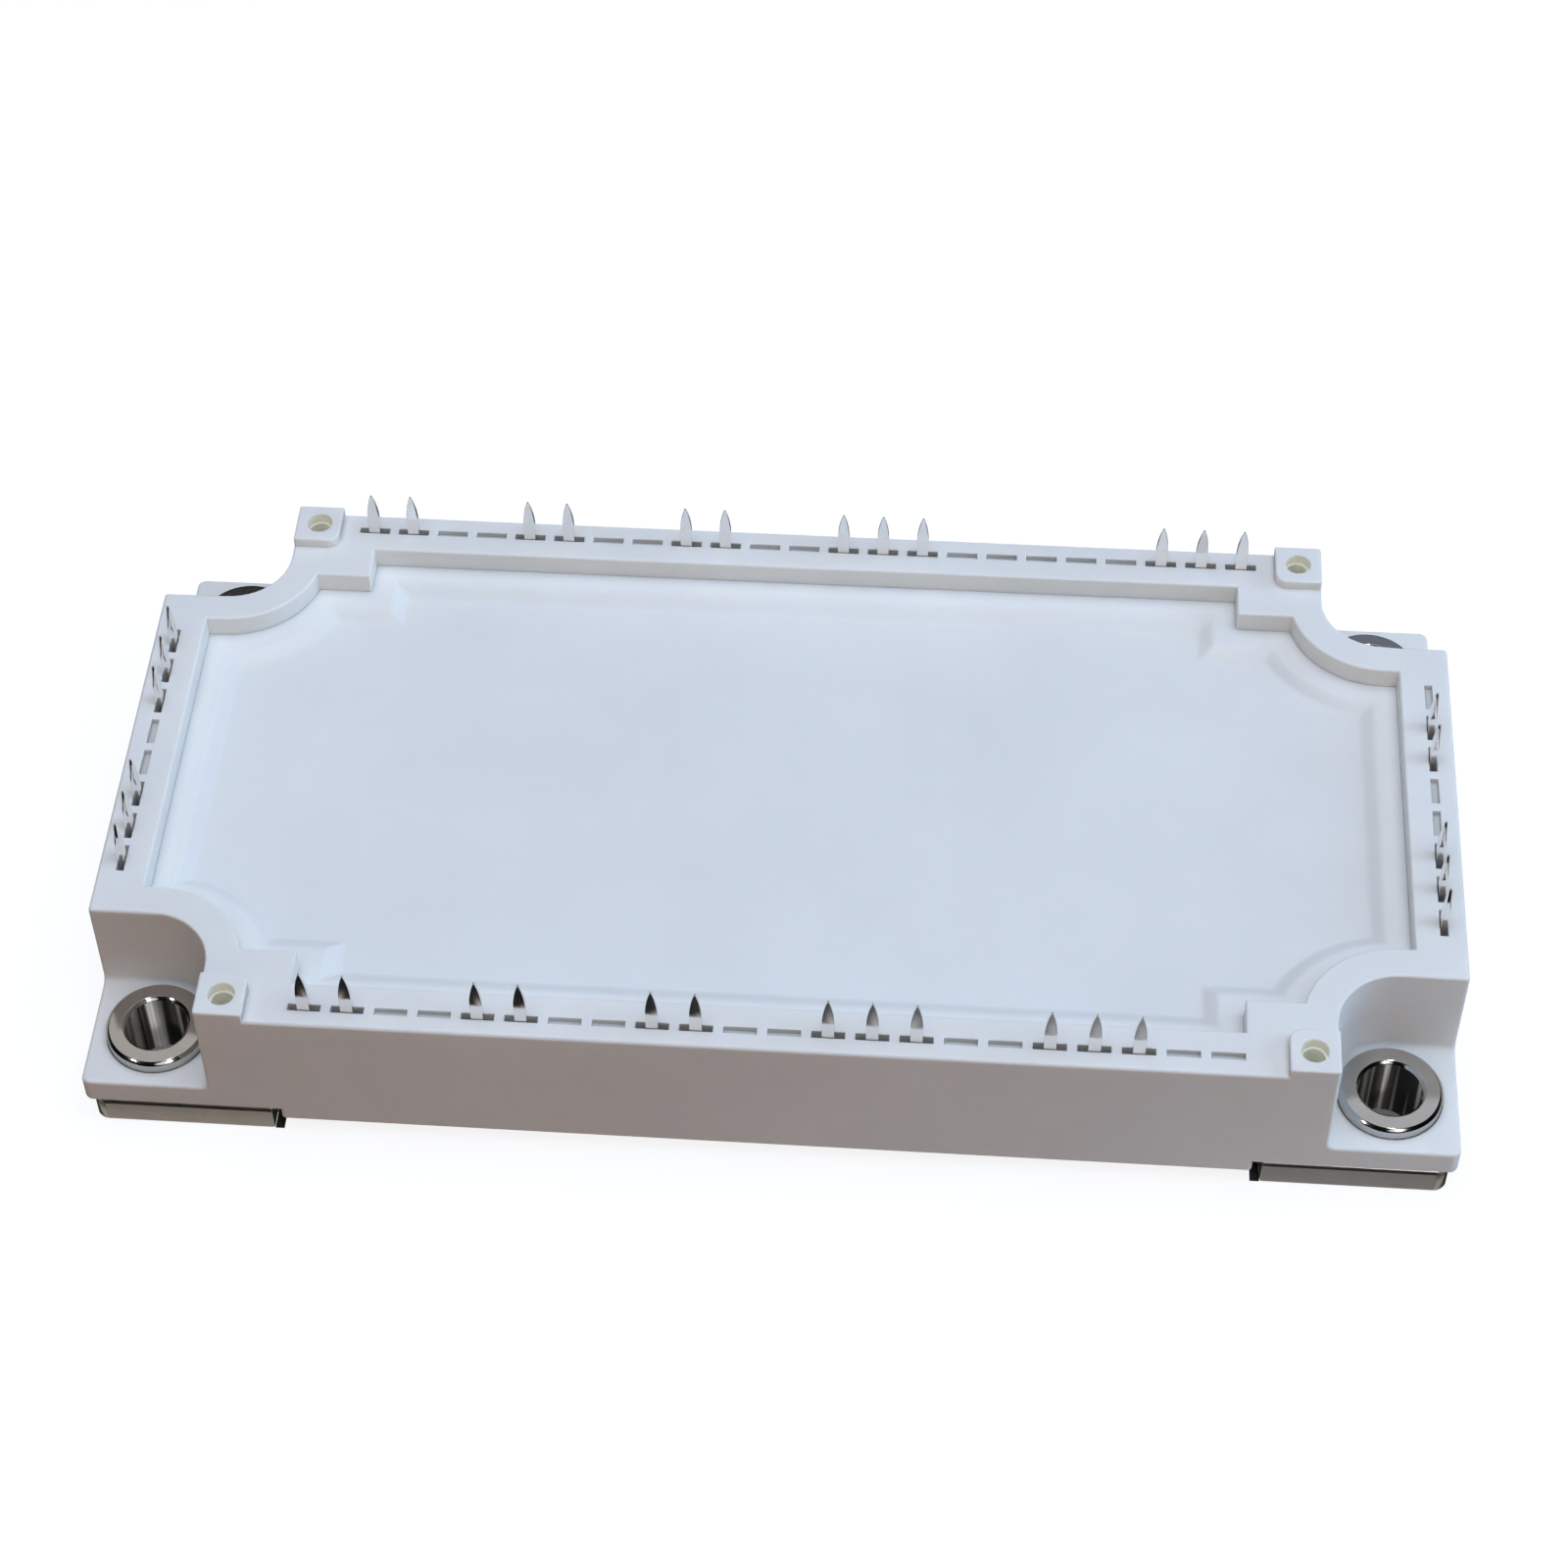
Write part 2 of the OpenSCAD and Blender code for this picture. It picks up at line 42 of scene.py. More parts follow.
scene = bpy.context.scene
scene.view_settings.view_transform = "Standard"
scene.view_settings.look = "None"

# holes that are the same in all four corners, mm from the middle
screwHole = (55, 25)
boardHole = (47.25, 28.75)


# Small tools

meshSetup = {"merge": 0.002, "flat": 0.5, "smooth": 35}      # mm, then degrees
boreSetup = {"reach": 2.8, "upright": 0.3}                   # mm, greatest z of a wall's normal


def hexColor(text, strength=1.0):
    # sRGB hex to linear
    parts = [int(text[i:i + 2], 16) / 255 for i in (1, 3, 5)]
    linear = [p / 12.92 if p <= 0.04045 else ((p + 0.055) / 1.055) ** 2.4 for p in parts]
    return [strength * p for p in linear] + [1.0]


def addNode(tree, kind, settings=None, links=None):
    # settings: property or input name to value, links: input name to an output socket
    node = tree.nodes.new(kind)
    for name, value in (settings or {}).items():
        if name == "stops":                  # position and colour of each stop of a ramp
            stops = node.color_ramp.elements
            for i, (position, color) in enumerate(value):
                stop = stops[i] if i < 2 else stops.new(position)
                stop.position, stop.color = position, color
        elif name in node.inputs:
            node.inputs[name].default_value = value
        else:
            setattr(node, name, value)
    for name, socket in (links or {}).items():
        tree.links.new(socket, node.inputs[name])
    return node


def newMaterial(name):
    material = bpy.data.materials.new(name)
    material.use_nodes = True
    material.node_tree.nodes.clear()
    return material, material.node_tree


def perMm(size):
    # texture scale for features of that size in millimetres
    return 1 / (size * mm)


def selectOnly(piece):
    bpy.ops.object.select_all(action="DESELECT")
    piece.select_set(True)
    bpy.context.view_layer.objects.active = piece


def copyNode(node, name):
    # own copy of a node's mesh, its loose triangles merged into whole flat faces
    piece = nodes[node].copy()
    piece.data = nodes[node].data.copy()
    piece.name = piece.data.name = name
    piece.parent = None
    for key in list(piece.keys()):
        del piece[key]
    scene.collection.objects.link(piece)
    piece.data.materials.clear()
    selectOnly(piece)
    bpy.ops.mesh.customdata_custom_splitnormals_clear()
    bpy.ops.object.mode_set(mode="EDIT")
    bpy.ops.mesh.select_all(action="SELECT")
    bpy.ops.mesh.remove_doubles(threshold=meshSetup["merge"] * mm)
    bpy.ops.mesh.dissolve_limited(angle_limit=math.radians(meshSetup["flat"]))
    bpy.ops.object.mode_set(mode="OBJECT")
    return piece


def softenEdges(piece, setup, share):
    # rounds the sharp edges, each by its share of the width; share is asked with the edge's middle
    # in millimetres and its bend in degrees
    mesh = bmesh.new()
    mesh.from_mesh(piece.data)
    weight = mesh.edges.layers.float.new("bevel_weight_edge")
    for edge in mesh.edges:
        bend = math.degrees(edge.calc_face_angle_signed(0))
        if bend > setup["sharp"] or (setup["hollows"] and bend < -setup["sharp"]):
            middle = (edge.verts[0].co + edge.verts[1].co) / 2 / mm
            edge[weight] = share(middle.x, middle.y, middle.z, bend)
    mesh.to_mesh(piece.data)
    mesh.free()
    selectOnly(piece)
    bevel = piece.modifiers.new("soft edges", "BEVEL")
    bevel.limit_method = "WEIGHT"
    bevel.width = setup["edge"] * mm
    bevel.segments = setup["segments"]
    bevel.use_clamp_overlap = False
    bevel.loop_slide = False
    bpy.ops.object.modifier_apply(modifier=bevel.name)
    bpy.ops.object.shade_smooth_by_angle(angle=math.radians(meshSetup["smooth"]))
    normals = piece.modifiers.new("flat faces stay flat", "WEIGHTED_NORMAL")
    normals.keep_sharp = True
    bpy.ops.object.modifier_apply(modifier=normals.name)


def dress(piece, material, replaced):
    piece.data.materials.clear()
    piece.data.materials.append(material)
    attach(piece, "root")
    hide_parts(replaced)


def between(value, limits):
    return limits[0] < value < limits[1]


def near(x, y, spot, reach):
    # within reach of one of the four corner spots
    return math.hypot(abs(x) - spot[0], abs(y) - spot[1]) < reach


def skinBores(piece):
    # the walls of the screw bores get a skin of their own
    piece.data.materials.append(nickelBore)
    for face in piece.data.polygons:
        spot = face.center / mm
        wall = abs(face.normal.z) < boreSetup["upright"]
        if wall and near(spot.x, spot.y, screwHole, boreSetup["reach"]):
            face.material_index = 1


# Camera, placed where the photograph was taken from

cameraSetup = {
    "place": (15.72, -214.48, 267.72),     # mm
    "target": (-9.047, 8.529, 8.0),        # mm, a point on the view axis
    "roll": -2.123,                        # degrees
    "lens": 83.04,
    "sensor": 36.0,
    "shift": (0.0564, -0.0165),
    "clip": (0.01, 10),                    # m
}


def makeCamera(setup):
    data = bpy.data.cameras.new("photoCamera")
    data.lens = setup["lens"]
    data.sensor_width = setup["sensor"]
    data.shift_x, data.shift_y = setup["shift"]
    data.clip_start, data.clip_end = setup["clip"]
    camera = bpy.data.objects.new("photoCamera", data)
    scene.collection.objects.link(camera)
    place = Vector(setup["place"]) * mm
    toward = Vector(setup["target"]) * mm - place
    aim = toward.to_track_quat("-Z", "Y").to_matrix().to_4x4()
    roll = Matrix.Rotation(math.radians(setup["roll"]), 4, "Z")
    camera.matrix_world = Matrix.Translation(place) @ aim @ roll
    scene.camera = camera


makeCamera(cameraSetup)
print("camera placed")


# Materials

patternSetup = {
    # sizes in mm
    "mouldGrain": 0.18,      # finer on the real part, drawn coarser so that it shows
    "platingPatch": 2.5,
    "boreStreak": 40,        # length along the bore
}


def mattSkin(name, base, shade, cloud, rough, body):
    # matt body with clouds between two tones, cloud mm across, and the grain of the mould; body
    # holds the shader's own values
    material, tree = newMaterial(name)
    place = addNode(tree, "ShaderNodeTexCoord").outputs["Object"]
    clouds = addNode(tree, "ShaderNodeTexNoise",
                     {"Scale": perMm(cloud), "Detail": 3.0, "Roughness": 0.6}, {"Vector": place})
    tone = addNode(tree, "ShaderNodeValToRGB",
                   {"stops": [(0.3, hexColor(shade)), (0.7, hexColor(base))]},
                   {"Fac": clouds.outputs["Fac"]})
    gloss = addNode(tree, "ShaderNodeMapRange", {"To Min": rough[0], "To Max": rough[1]},
                    {"Value": clouds.outputs["Fac"]})
    grain = addNode(tree, "ShaderNodeTexNoise",
                    {"Scale": perMm(patternSetup["mouldGrain"]), "Detail": 2.0}, {"Vector": place})
    bump = addNode(tree, "ShaderNodeBump", {"Strength": 0.12, "Distance": 0.02 * mm},
                   {"Height": grain.outputs["Fac"]})
    skin = addNode(tree, "ShaderNodeBsdfPrincipled", body,
                   {"Base Color": tone.outputs["Color"], "Roughness": gloss.outputs["Result"],
                    "Normal": bump.outputs["Normal"]})
    addNode(tree, "ShaderNodeOutputMaterial", None, {"Surface": skin.outputs["BSDF"]})
    return material


def metalSkin(name, base, worn, grain, rough):
    # satin metal with faint patches and scuffs; grain is the scuff size along x, y, z in mm
    material, tree = newMaterial(name)
    place = addNode(tree, "ShaderNodeTexCoord").outputs["Object"]
    patches = addNode(tree, "ShaderNodeTexNoise",
                      {"Scale": perMm(patternSetup["platingPatch"]), "Detail": 4.0},
                      {"Vector": place})
    tone = addNode(tree, "ShaderNodeMix",
                   {"data_type": "RGBA", "A": hexColor(base), "B": hexColor(worn)},
                   {"Factor": patches.outputs["Fac"]})
    drawn = addNode(tree, "ShaderNodeMapping", {"Scale": [perMm(g) for g in grain]},
                    {"Vector": place})
    scuffs = addNode(tree, "ShaderNodeTexNoise", {"Scale": 1.0, "Detail": 3.0},
                     {"Vector": drawn.outputs["Vector"]})
    gloss = addNode(tree, "ShaderNodeMapRange", {"To Min": rough[0], "To Max": rough[1]},
                    {"Value": scuffs.outputs["Fac"]})
    bump = addNode(tree, "ShaderNodeBump", {"Strength": 0.1, "Distance": 0.01 * mm},
                   {"Height": scuffs.outputs["Fac"]})
    skin = addNode(tree, "ShaderNodeBsdfPrincipled", {"Metallic": 1.0},
                   {"Base Color": tone.outputs["Result"], "Roughness": gloss.outputs["Result"],
                    "Normal": bump.outputs["Normal"]})
    addNode(tree, "ShaderNodeOutputMaterial", None, {"Surface": skin.outputs["BSDF"]})
    return material


def boreSkin(name, base, dull, streak):
    # polished wall of a bore: bright and dull streaks along z, streak mm wide, painted into the
    # metal's tone as streaky reflection and shade, and tool marks round the axis that draw the
    # highlights out
    material, tree = newMaterial(name)
    place = addNode(tree, "ShaderNodeTexCoord").outputs["Object"]
    scale = (perMm(streak), perMm(streak), perMm(patternSetup["boreStreak"]))
    drawn = addNode(tree, "ShaderNodeMapping", {"Scale": scale}, {"Vector": place})
    streaks = addNode(tree, "ShaderNodeTexNoise", {"Scale": 1.0, "Detail": 2.0},
                      {"Vector": drawn.outputs["Vector"]})
    # painted reflection and shade: bright and dark streaks in the metal's tone
    tone = addNode(tree, "ShaderNodeValToRGB",
                   {"stops": [(0.46, hexColor(dull)), (0.62, hexColor(base))]},
                   {"Fac": streaks.outputs["Fac"]})
    gloss = addNode(tree, "ShaderNodeMapRange",
                    {"From Min": 0.3, "From Max": 0.7, "To Min": 0.56, "To Max": 0.48},
                    {"Value": streaks.outputs["Fac"]})
    marks = addNode(tree, "ShaderNodeTangent", {"direction_type": "RADIAL", "axis": "Z"})
    skin = addNode(tree, "ShaderNodeBsdfPrincipled",
                   {"Metallic": 1.0, "Anisotropic": 0.95, "Anisotropic Rotation": 0.25},
                   {"Base Color": tone.outputs["Color"], "Roughness": gloss.outputs["Result"],
                    "Tangent": marks.outputs["Tangent"]})
    addNode(tree, "ShaderNodeOutputMaterial", None, {"Surface": skin.outputs["BSDF"]})
    return material


# glass-filled polyester: a matt white skin with faint flow clouds that lets a little light through
polyester = {"IOR": 1.52, "Subsurface Weight": 0.5, "Subsurface Radius": (1.0, 0.85, 0.6),
             "Subsurface Scale": 0.9 * mm}
framePlastic = mattSkin("moulded white polyester, frame", "#eae8e0", "#e4e2da", 16, (0.44, 0.56),
                        polyester)
lidPlastic = mattSkin("moulded white polyester, lid", "#eae9e2", "#e5e4dd", 16, (0.44, 0.56),
                      polyester)
# painted glow: the walls round the board screw holes are painted lighter and cream, standing in for
# light that comes through the thin walls
paintedGlowHoles = mattSkin("moulded white polyester, painted glow on hole walls", "#fbf7e6", "#f6f1de", 16,
                        (0.5, 0.6), polyester)
# painted shade in the slots: pale grey where shallow, darker where deep, and the same darker grey
# on the steps at the board seats
paintedShadeBlanks = mattSkin("moulded white polyester, painted shade in blank slots", "#d0cfc8", "#c8c7c0", 16,
                        (0.5, 0.6), polyester)
paintedShadeSlots = mattSkin("moulded white polyester, painted shade in deep slots", "#d0cec9", "#c6c4bf", 16,
                       (0.5, 0.6), {"IOR": 1.52})
# plating: grey and satin on the punched plate, brighter on the turned bushings, painted bright and
# dark streaks of reflection in the bores drawn out by tool marks, near white and smooth on the pins
nickelCopper = metalSkin("nickel-plated copper, punched", "#b6b2ad", "#a09c97", (2.0, 2.0, 0.08),
                         (0.22, 0.36))
nickelSteel = metalSkin("nickel-plated steel, turned", "#c5c4c2", "#b4b2b0", (0.4, 0.4, 0.1),
                        (0.08, 0.14))
nickelBore = boreSkin("nickel plating, bored", "#f0eeea", "#4a4845", 1.1)
tinCopper = metalSkin("tin-plated copper, stamped", "#f2f0ee", "#e6e3e0", (0.1, 0.1, 1.2),
                      (0.08, 0.14))
# the circuit under the lid: warm rolled copper, chalky ceramic, pale metal on the chips, dark
# sensor body, drawn wire, clear gel
bareCopper = metalSkin("bare copper, rolled", "#d39a76", "#bd8260", (2.0, 0.2, 0.2), (0.24, 0.38))
alumina = mattSkin("alumina ceramic, fired", "#f2efe8", "#ebe7de", 6, (0.6, 0.7), {"IOR": 1.76})
chipMetal = metalSkin("aluminium on silicon, sputtered", "#bfc1c6", "#a9acb3", (0.3, 0.3, 0.3),
                      (0.18, 0.28))
sensorBody = mattSkin("sensor ceramic, glazed", "#3c3c40", "#303034", 1, (0.2, 0.3), {"IOR": 1.5})
aluminiumWire = metalSkin("aluminium wire, drawn", "#dedede", "#cccdcf", (0.1, 0.1, 1.0),
                          (0.2, 0.3))
clearGel = mattSkin("silicone gel, poured", "#f4f7f8", "#eaf0f2", 12, (0.03, 0.06),
                    {"IOR": 1.41, "Transmission Weight": 0.9})
print("materials made")


# Housing frame

frameSetup = {
    "edge": 0.34, "segments": 3, "sharp": 30, "hollows": False,
    "edges": {
        # share of that width for each kind of edge, and where it is, in mm
        "boardHole": {"share": 0.25, "above": 16.9, "reach": 1.5},
        "seat": {"share": 0.6, "above": 16.2},
        "bushingSeat": {"share": 0.25, "above": 5, "reach": 4.9},
        "slot": {"share": 0.3, "above": 15.9, "floor": 6, "rowX": (58.4, 59.6),
                 "rowY": (28.4, 29.6)},
        "opening": {"share": 0.6, "above": 13, "half": (57, 27)},
    },
    "skins": {
        # where the skins with painted shade and painted glow lie, in mm
        "boardHole": {"reach": 1.25, "below": 16.95},
        "seatStep": {"x": (45.05, 45.15), "z": (16.05, 16.85)},
        "slot": {"z": (6, 15.9), "rowX": (58.6, 59.4), "rowY": (28.6, 29.4), "half": (45, 18),
                 "pinReach": 1.7},
    },
}
pinNodes = sorted(n for n in nodes if n.startswith("terminal_pin_"))
pinSpots = [max(nodes[n].data.vertices, key=lambda v: v.co.z).co / mm for n in pinNodes]


def frameEdge(x, y, z, bend):
    zones = frameSetup["edges"]
    slot, half = zones["slot"], zones["opening"]["half"]
    inRow = between(abs(x), slot["rowX"]) or between(abs(y), slot["rowY"])
    if near(x, y, boardHole, zones["boardHole"]["reach"]):
        zone = zones["boardHole"]
    elif z > zones["seat"]["above"]:
        zone = zones["seat"]
    elif near(x, y, screwHole, zones["bushingSeat"]["reach"]):
        zone = zones["bushingSeat"]
    elif inRow and z > slot["floor"]:
        zone = slot
    elif abs(x) < half[0] and abs(y) < half[1]:
        zone = zones["opening"]
    else:
        return 1
    return zone["share"] if z > zone["above"] else 0


def frameSkin(x, y, z):
    # 0 outer skin, 1 painted shade in the slots with a pin and on the steps at the board seats, 2
    # painted glow in the board holes, 3 painted shade in the blank slots
    skins = frameSetup["skins"]
    hole, step, slot = skins["boardHole"], skins["seatStep"], skins["slot"]
    if near(x, y, boardHole, hole["reach"]) and z < hole["below"]:
        return 2
    if between(abs(x), step["x"]) and between(z, step["z"]):
        return 1
    frontRow = between(abs(y), slot["rowY"]) and abs(x) < slot["half"][0]
    sideRow = between(abs(x), slot["rowX"]) and abs(y) < slot["half"][1]
    if between(z, slot["z"]) and (frontRow or sideRow):
        nearest = min(math.hypot(x - spot.x, y - spot.y) for spot in pinSpots)
        return 1 if nearest < slot["pinReach"] else 3
    return 0


housing = copyNode("housing_frame", "housingFrame")
softenEdges(housing, frameSetup, frameEdge)
dress(housing, framePlastic, "housing_frame")
# painted shade in the slots and on the seat steps, painted glow in the board holes
for skin in (paintedShadeSlots, paintedGlowHoles, paintedShadeBlanks):
    housing.data.materials.append(skin)
for face in housing.data.polygons:
    face.material_index = frameSkin(*(face.center / mm))
print("housing frame softened,", len(housing.data.polygons), "faces")


# Lid

lidSetup = {"edge": 0.3, "segments": 3, "sharp": 20, "hollows": True,
            "above": 12.5, "bend": 60,         # edges over that height and less bent are rounded
            "reach": 0.08, "upright": 0.1}     # mm, greatest z of a side's normal


def lidEdge(x, y, z, bend):
    return 1 if z > lidSetup["above"] and bend < lidSetup["bend"] else 0


def spreadSides(piece, setup):
    # moves the upright faces out, so that the pressed-in lid closes on the frame
    mesh = bmesh.new()
    mesh.from_mesh(piece.data)
    for vert in mesh.verts:
        sides = [face.normal for face in vert.link_faces if abs(face.normal.z) < setup["upright"]]
        if sides:
            out = sum(sides, Vector()) / len(sides)
            vert.co += out * (setup["reach"] * mm / out.length_squared)
    mesh.to_mesh(piece.data)
    mesh.free()


lid = copyNode("lid", "lidPanel")
spreadSides(lid, lidSetup)
softenEdges(lid, lidSetup, lidEdge)
dress(lid, lidPlastic, "lid")
print("lid softened,", len(lid.data.polygons), "faces")


# Base plate

plateSetup = {"edge": 0.2, "segments": 2, "sharp": 30, "hollows": False, "boreReach": 3}


def plateEdge(x, y, z, bend):
    return 0 if near(x, y, screwHole, plateSetup["boreReach"]) else 1


plate = copyNode("base_plate", "basePlate")
softenEdges(plate, plateSetup, plateEdge)
dress(plate, nickelCopper, "base_plate")
skinBores(plate)
print("base plate softened,", len(plate.data.polygons), "faces")


# Bushings

bushingSetup = {"count": 4, "edge": 0.05, "segments": 2, "sharp": 30, "hollows": False, "above": 6}


def bushingEdge(x, y, z, bend):
    return 1 if z > bushingSetup["above"] else 0


def makeBushing(i, setup):
    bushing = copyNode(f"mounting_bushing_{i}", f"screwBushing{i}")
    softenEdges(bushing, setup, bushingEdge)
    dress(bushing, nickelSteel, f"mounting_bushing_{i}")
    skinBores(bushing)


for i in range(1, bushingSetup["count"] + 1):
    makeBushing(i, bushingSetup)
print("bushings softened,", bushingSetup["count"])


# Terminal pins

pinSetup = {"edge": 0.05, "segments": 2, "sharp": 30, "hollows": False, "above": 12}


def pinEdge(x, y, z, bend):
    return 1 if z > pinSetup["above"] else 0


for node in pinNodes:
    pin = copyNode(node, "pin" + node.rsplit("_", 1)[1])
    softenEdges(pin, pinSetup, pinEdge)
    dress(pin, tinCopper, node)
print("pins softened,", len(pinNodes))


# Circuit under the lid, kept as the frame has it

circuitSkins = {
    "lower_copper": bareCopper, "circuit_copper": bareCopper, "ceramic_substrate": alumina,
    "rectifier_chips": chipMetal, "switch_chips": chipMetal, "freewheel_chips": chipMetal,
    "brake_chips": chipMetal, "temperature_sensor": sensorBody, "bond_wires": aluminiumWire,
    "silicone_gel": clearGel,
}
dressed = 0
for node, piece in nodes.items():
    skin = next((m for start, m in circuitSkins.items() if node.startswith(start)), None)
    if skin:
        for slot in piece.material_slots:
            slot.material = skin
        dressed += len(piece.material_slots)
print("circuit dressed,", dressed, "slots")


# Floor, and cards under the module

floorSetup = {"size": 6.0, "drop": 0.03, "color": "#7c7c7c", "glow": 0.86}
cardSetup = {
    # in mm: one shows through the screw bores, two dark ones in the gaps beside the plate's ears
    # are painted shadow, for the shade under the module
    "card, grey": {"place": (0.0, 0.0, -0.01), "half": (58.5, 28.8), "color": "#b4aca2"},
    # painted shadow: dark cards seen through the gaps beside the ears
    "painted shadow, left gaps": {"place": (-43.6, 0.0, -0.02), "half": (0.42, 30.8), "color": "#1a1816"},
    "painted shadow, right gaps": {"place": (43.6, 0.0, -0.02), "half": (0.42, 30.8), "color": "#1a1816"},
}


def makePlane(name, size, place, material):
    bpy.ops.object.select_all(action="DESELECT")
    bpy.ops.mesh.primitive_plane_add(size=size, location=place)
    plane = bpy.context.object
    plane.name = name
    plane.data.materials.append(material)
    return plane


def makeFloor(setup):
    # bright by itself, so that it stays white under a dim light
    material, tree = newMaterial("backlit white acrylic")
    skin = addNode(tree, "ShaderNodeBsdfPrincipled",
                   {"Base Color": hexColor(setup["color"]), "Roughness": 0.9,
                    "Specular IOR Level": 0.0, "Emission Color": (1, 1, 1, 1),
                    "Emission Strength": setup["glow"]})
    addNode(tree, "ShaderNodeOutputMaterial", None, {"Surface": skin.outputs["BSDF"]})
    floor = makePlane("floor", setup["size"], (0, 0, -setup["drop"] * mm), material)
    # the object was shot over a dark bench: the pale floor throws no light back at it
    floor.visible_diffuse = floor.visible_glossy = False
    floor.visible_transmission = floor.visible_shadow = False


def makeCard(name, setup):
    # matt card, one even tone
    material, tree = newMaterial(name)
    skin = addNode(tree, "ShaderNodeBsdfPrincipled",
                   {"Base Color": hexColor(setup["color"]), "Roughness": 0.9})
    addNode(tree, "ShaderNodeOutputMaterial", None, {"Surface": skin.outputs["BSDF"]})
    card = makePlane(name, 2, Vector(setup["place"]) * mm, material)
    card.scale = (setup["half"][0] * mm, setup["half"][1] * mm, 1)


makeFloor(floorSetup)
for name, card in cardSetup.items():
    makeCard(name, card)
print("floor laid,", len(cardSetup), "cards")


# Light

lightSetup = {
    # places and sizes in m, power in W
    "soft box above":
        {"place": (0.0, 0.0, 0.7), "size": 0.9, "power": 6.36, "color": "#dde8ff"},
    "soft box, right":
        {"place": (0.8, 0.0, 0.3), "size": 0.5, "power": 4.16, "color": "#b5d7ff"},
    "soft box, front":
        {"place": (0.0, -0.8, 0.3), "size": 0.5, "power": 0.92, "color": "#ffe1d4"},
    "low fill, front right":
        {"place": (0.09, -0.08, -0.05), "size": 0.06, "power": 0.025, "color": "#b9ddff"},
    "low fill, rear left":
        {"place": (-0.6, 0.6, -0.2), "size": 0.5, "power": 1.6, "color": "#dfe6f2"},
    "low fill, rear right":
        {"place": (0.6, 0.6, -0.2), "size": 0.5, "power": 1.6, "color": "#dfe6f2"},
    # lamps for highlights alone
    "lamp above":
        {"place": (0.14, -0.3, 0.8), "size": 0.1, "power": 1.8, "color": "#ffffff",
         "shows": True},
    "lamp, front right":
        {"place": (0.33, -0.74, 0.58), "size": 0.12, "power": 2.0, "color": "#ffffff",
         "shows": True},
    "lamp, front left":
        {"place": (-0.6, -0.57, 0.56), "size": 0.1, "power": 1.4, "color": "#ffffff",
         "shows": True},
}
skySetup = {
    # colours by degrees of height: light on matt faces, and what metal mirrors behind and in front
    "matt sky": [(-5, "#765b48"), (5, "#000000")],
    "mirrored behind": [
        (-90, "#1c1d20"), (-36, "#1c1d20"), (-30, "#c9c4be"), (-4, "#bdb8b2"), (3, "#1c1d20"),
        (46.8, "#1c222c"), (50.5, "#d9d5d0")],
    "mirrored in front": [
        (-90, "#d9d0c8"), (-51.5, "#d9d0c8"), (-49, "#0c0c10"), (-36, "#0c0c10"), (-30, "#c9c4be"),
        (-4, "#bdb8b2"), (3, "#0c0c10"), (62, "#0c0c10"), (76, "#c9c6c2")],
    "seam": 0.05,        # half width of the blend between the two, as a share of the sky's radius
    "patches": {
        # in the mirrored sky, later ones over earlier ones: full to inner, gone at outer degrees
        "dark bench, front":
            {"toward": (-0.05, -0.97, -0.24), "inner": 25, "outer": 31, "color": "#0c0c10"},
        "window, front right":
            {"toward": (0.28, -0.76, 0.585), "inner": 8, "outer": 14, "strength": 1.2},
        "window, front":
            {"toward": (0.114, -0.818, 0.562), "inner": 5, "outer": 8, "strength": 1.2},
        "cool wall, behind right":
            {"toward": (0.12, 0.583, 0.8), "inner": 5, "outer": 14, "color": "#dfe1e6"},
        "cool wall, low behind right":
            {"toward": (0.11, 0.673, 0.732), "inner": 2, "outer": 5, "color": "#7f899b"},
        "grey bench, front right":
            {"toward": (0.114, -0.563, -0.818), "inner": 6, "outer": 14, "color": "#a8abb0"},
    },
}


def makeLights(setup):
    for name, light in setup.items():
        data = bpy.data.lights.new(name, "AREA")
        data.shape = "SQUARE"
        data.size = light["size"]
        data.energy = light["power"]
        data.color = hexColor(light["color"])[:3]
        lamp = bpy.data.objects.new(name, data)
        scene.collection.objects.link(lamp)
        lamp.location = light["place"]
        lamp.rotation_mode = "QUATERNION"
        lamp.rotation_quaternion = (-Vector(light["place"])).to_track_quat("-Z", "Y")
        lamp.visible_glossy = light.get("shows", False)
        lamp.visible_diffuse = not lamp.visible_glossy


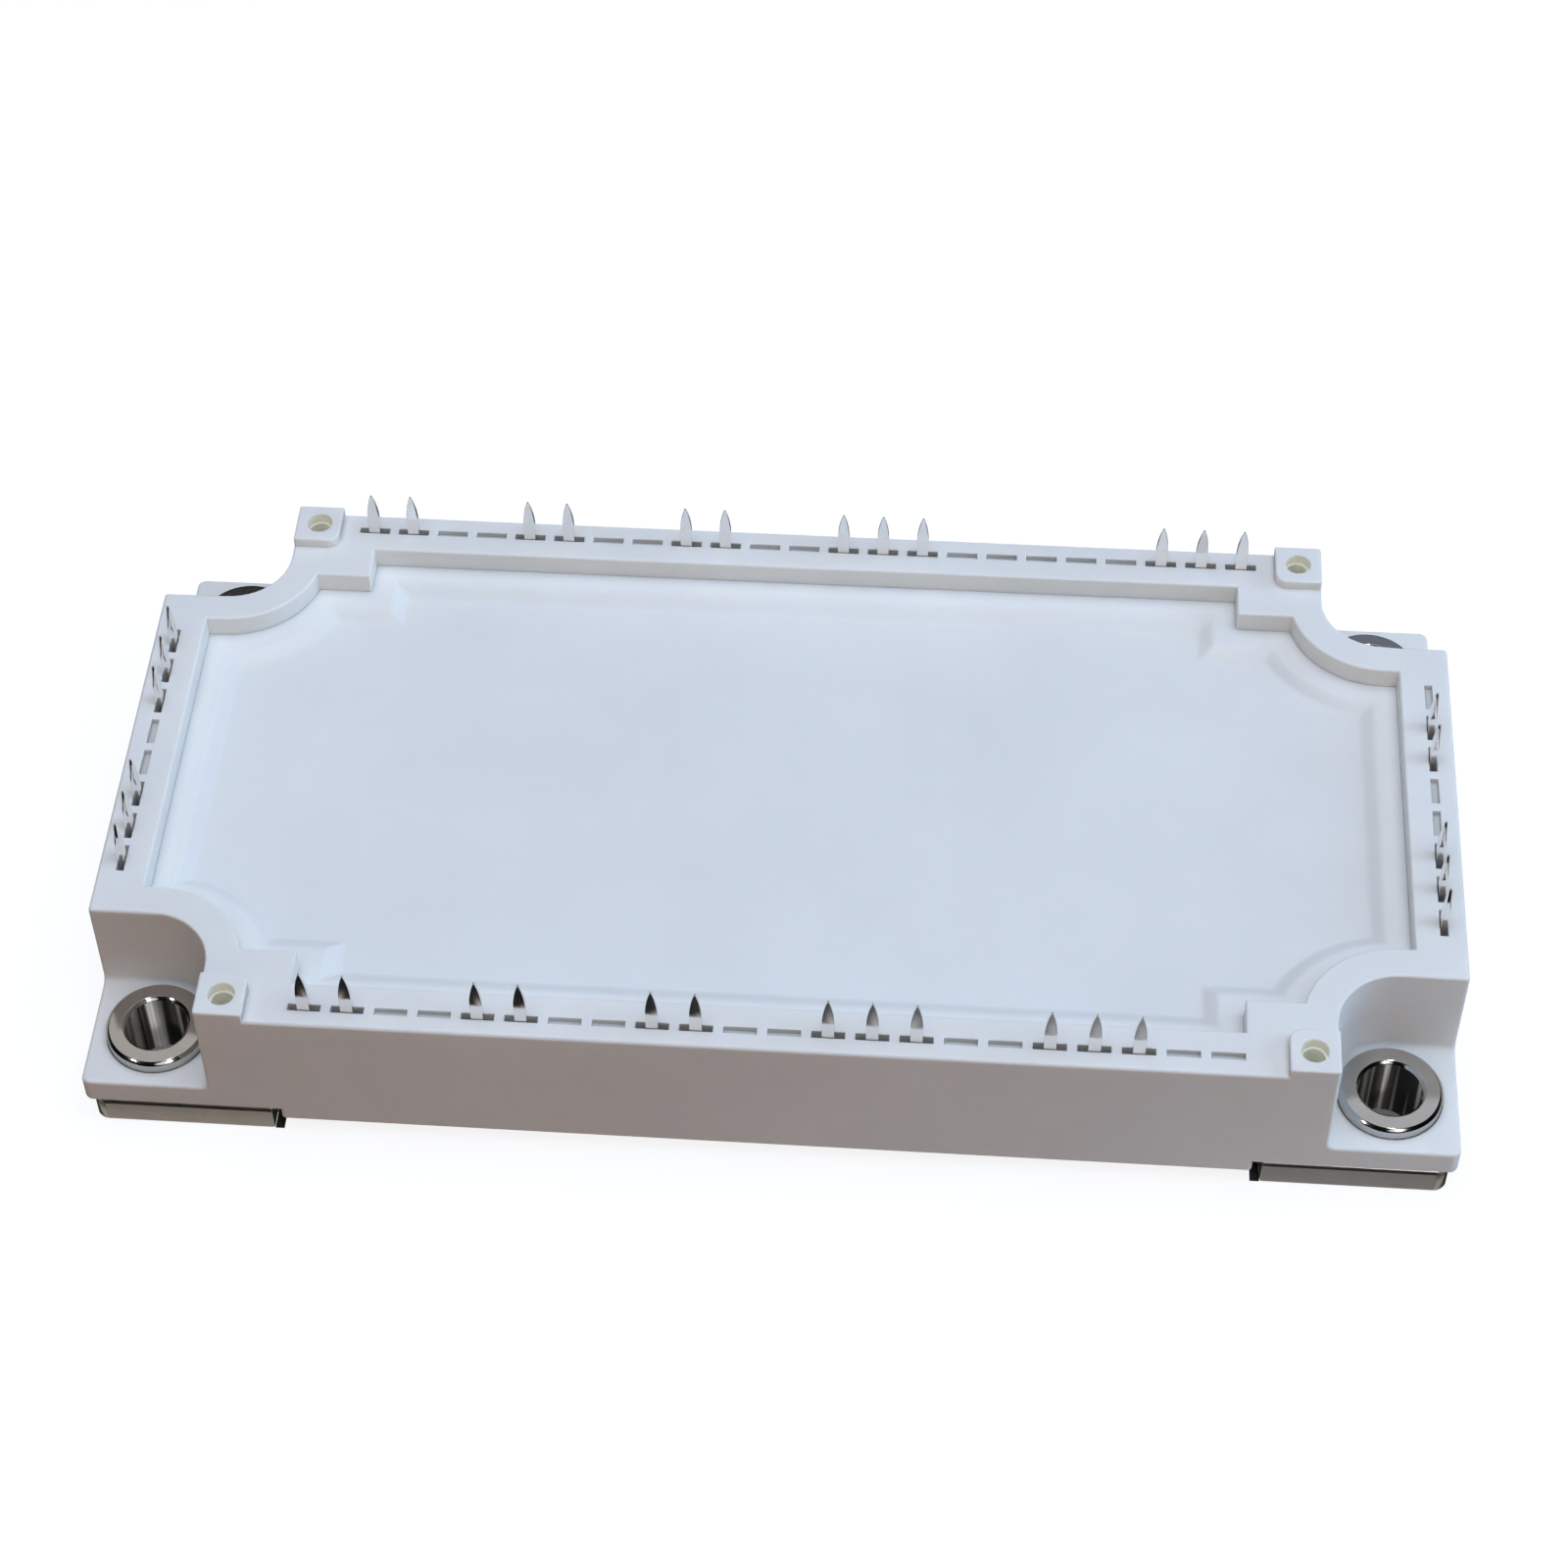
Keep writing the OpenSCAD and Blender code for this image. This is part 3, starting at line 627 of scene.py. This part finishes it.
def makeSky(setup):
    world = bpy.data.worlds.new("studio")
    world.use_nodes = True
    tree = world.node_tree
    tree.nodes.clear()
    toward = addNode(tree, "ShaderNodeTexCoord").outputs["Generated"]
    ray = addNode(tree, "ShaderNodeLightPath").outputs
    parts = addNode(tree, "ShaderNodeSeparateXYZ", None, {"Vector": toward}).outputs
    level = addNode(tree, "ShaderNodeMapRange", {"From Min": -1.0, "From Max": 1.0},
                    {"Value": parts["Z"]})
    ramps = {}
    for name in ("matt sky", "mirrored behind", "mirrored in front"):
        stops = [((math.sin(math.radians(height)) + 1) / 2, hexColor(color))
                 for height, color in setup[name]]
        ramps[name] = addNode(tree, "ShaderNodeValToRGB", {"name": name, "stops": stops},
                              {"Fac": level.outputs["Result"]}).outputs["Color"]
    ahead = addNode(tree, "ShaderNodeMapRange",
                    {"From Min": setup["seam"], "From Max": -setup["seam"]}, {"Value": parts["Y"]})
    mirrored = addNode(tree, "ShaderNodeMix", {"data_type": "RGBA"},
                       {"Factor": ahead.outputs["Result"], "A": ramps["mirrored behind"],
                        "B": ramps["mirrored in front"]})
    for patch in setup["patches"].values():
        spread = addNode(tree, "ShaderNodeVectorMath", {"operation": "DOT_PRODUCT"},
                         {"Vector": toward})
        spread.inputs[1].default_value = Vector(patch["toward"]).normalized()
        share = addNode(tree, "ShaderNodeMapRange",
                        {"interpolation_type": "SMOOTHSTEP",
                         "From Min": math.cos(math.radians(patch["outer"])),
                         "From Max": math.cos(math.radians(patch["inner"]))},
                        {"Value": spread.outputs["Value"]})
        color = hexColor(patch.get("color", "#ffffff"), patch.get("strength", 1))
        mirrored = addNode(tree, "ShaderNodeMix", {"data_type": "RGBA", "B": color},
                           {"Factor": share.outputs["Result"], "A": mirrored.outputs["Result"]})
    seen = addNode(tree, "ShaderNodeMix", {"data_type": "RGBA"},
                   {"Factor": ray["Is Glossy Ray"], "A": ramps["matt sky"],
                    "B": mirrored.outputs["Result"]})
    seen = addNode(tree, "ShaderNodeMix", {"data_type": "RGBA", "B": (1, 1, 1, 1)},
                   {"Factor": ray["Is Camera Ray"], "A": seen.outputs["Result"]})
    glow = addNode(tree, "ShaderNodeBackground", None, {"Color": seen.outputs["Result"]})
    addNode(tree, "ShaderNodeOutputWorld", None, {"Surface": glow.outputs["Background"]})
    # sampled by the surfaces alone, so that each kind of ray meets its own sky
    world.cycles.sampling_method = "NONE"
    scene.world = world


makeLights(lightSetup)
makeSky(skySetup)
print("light set,", len(lightSetup), "lamps")
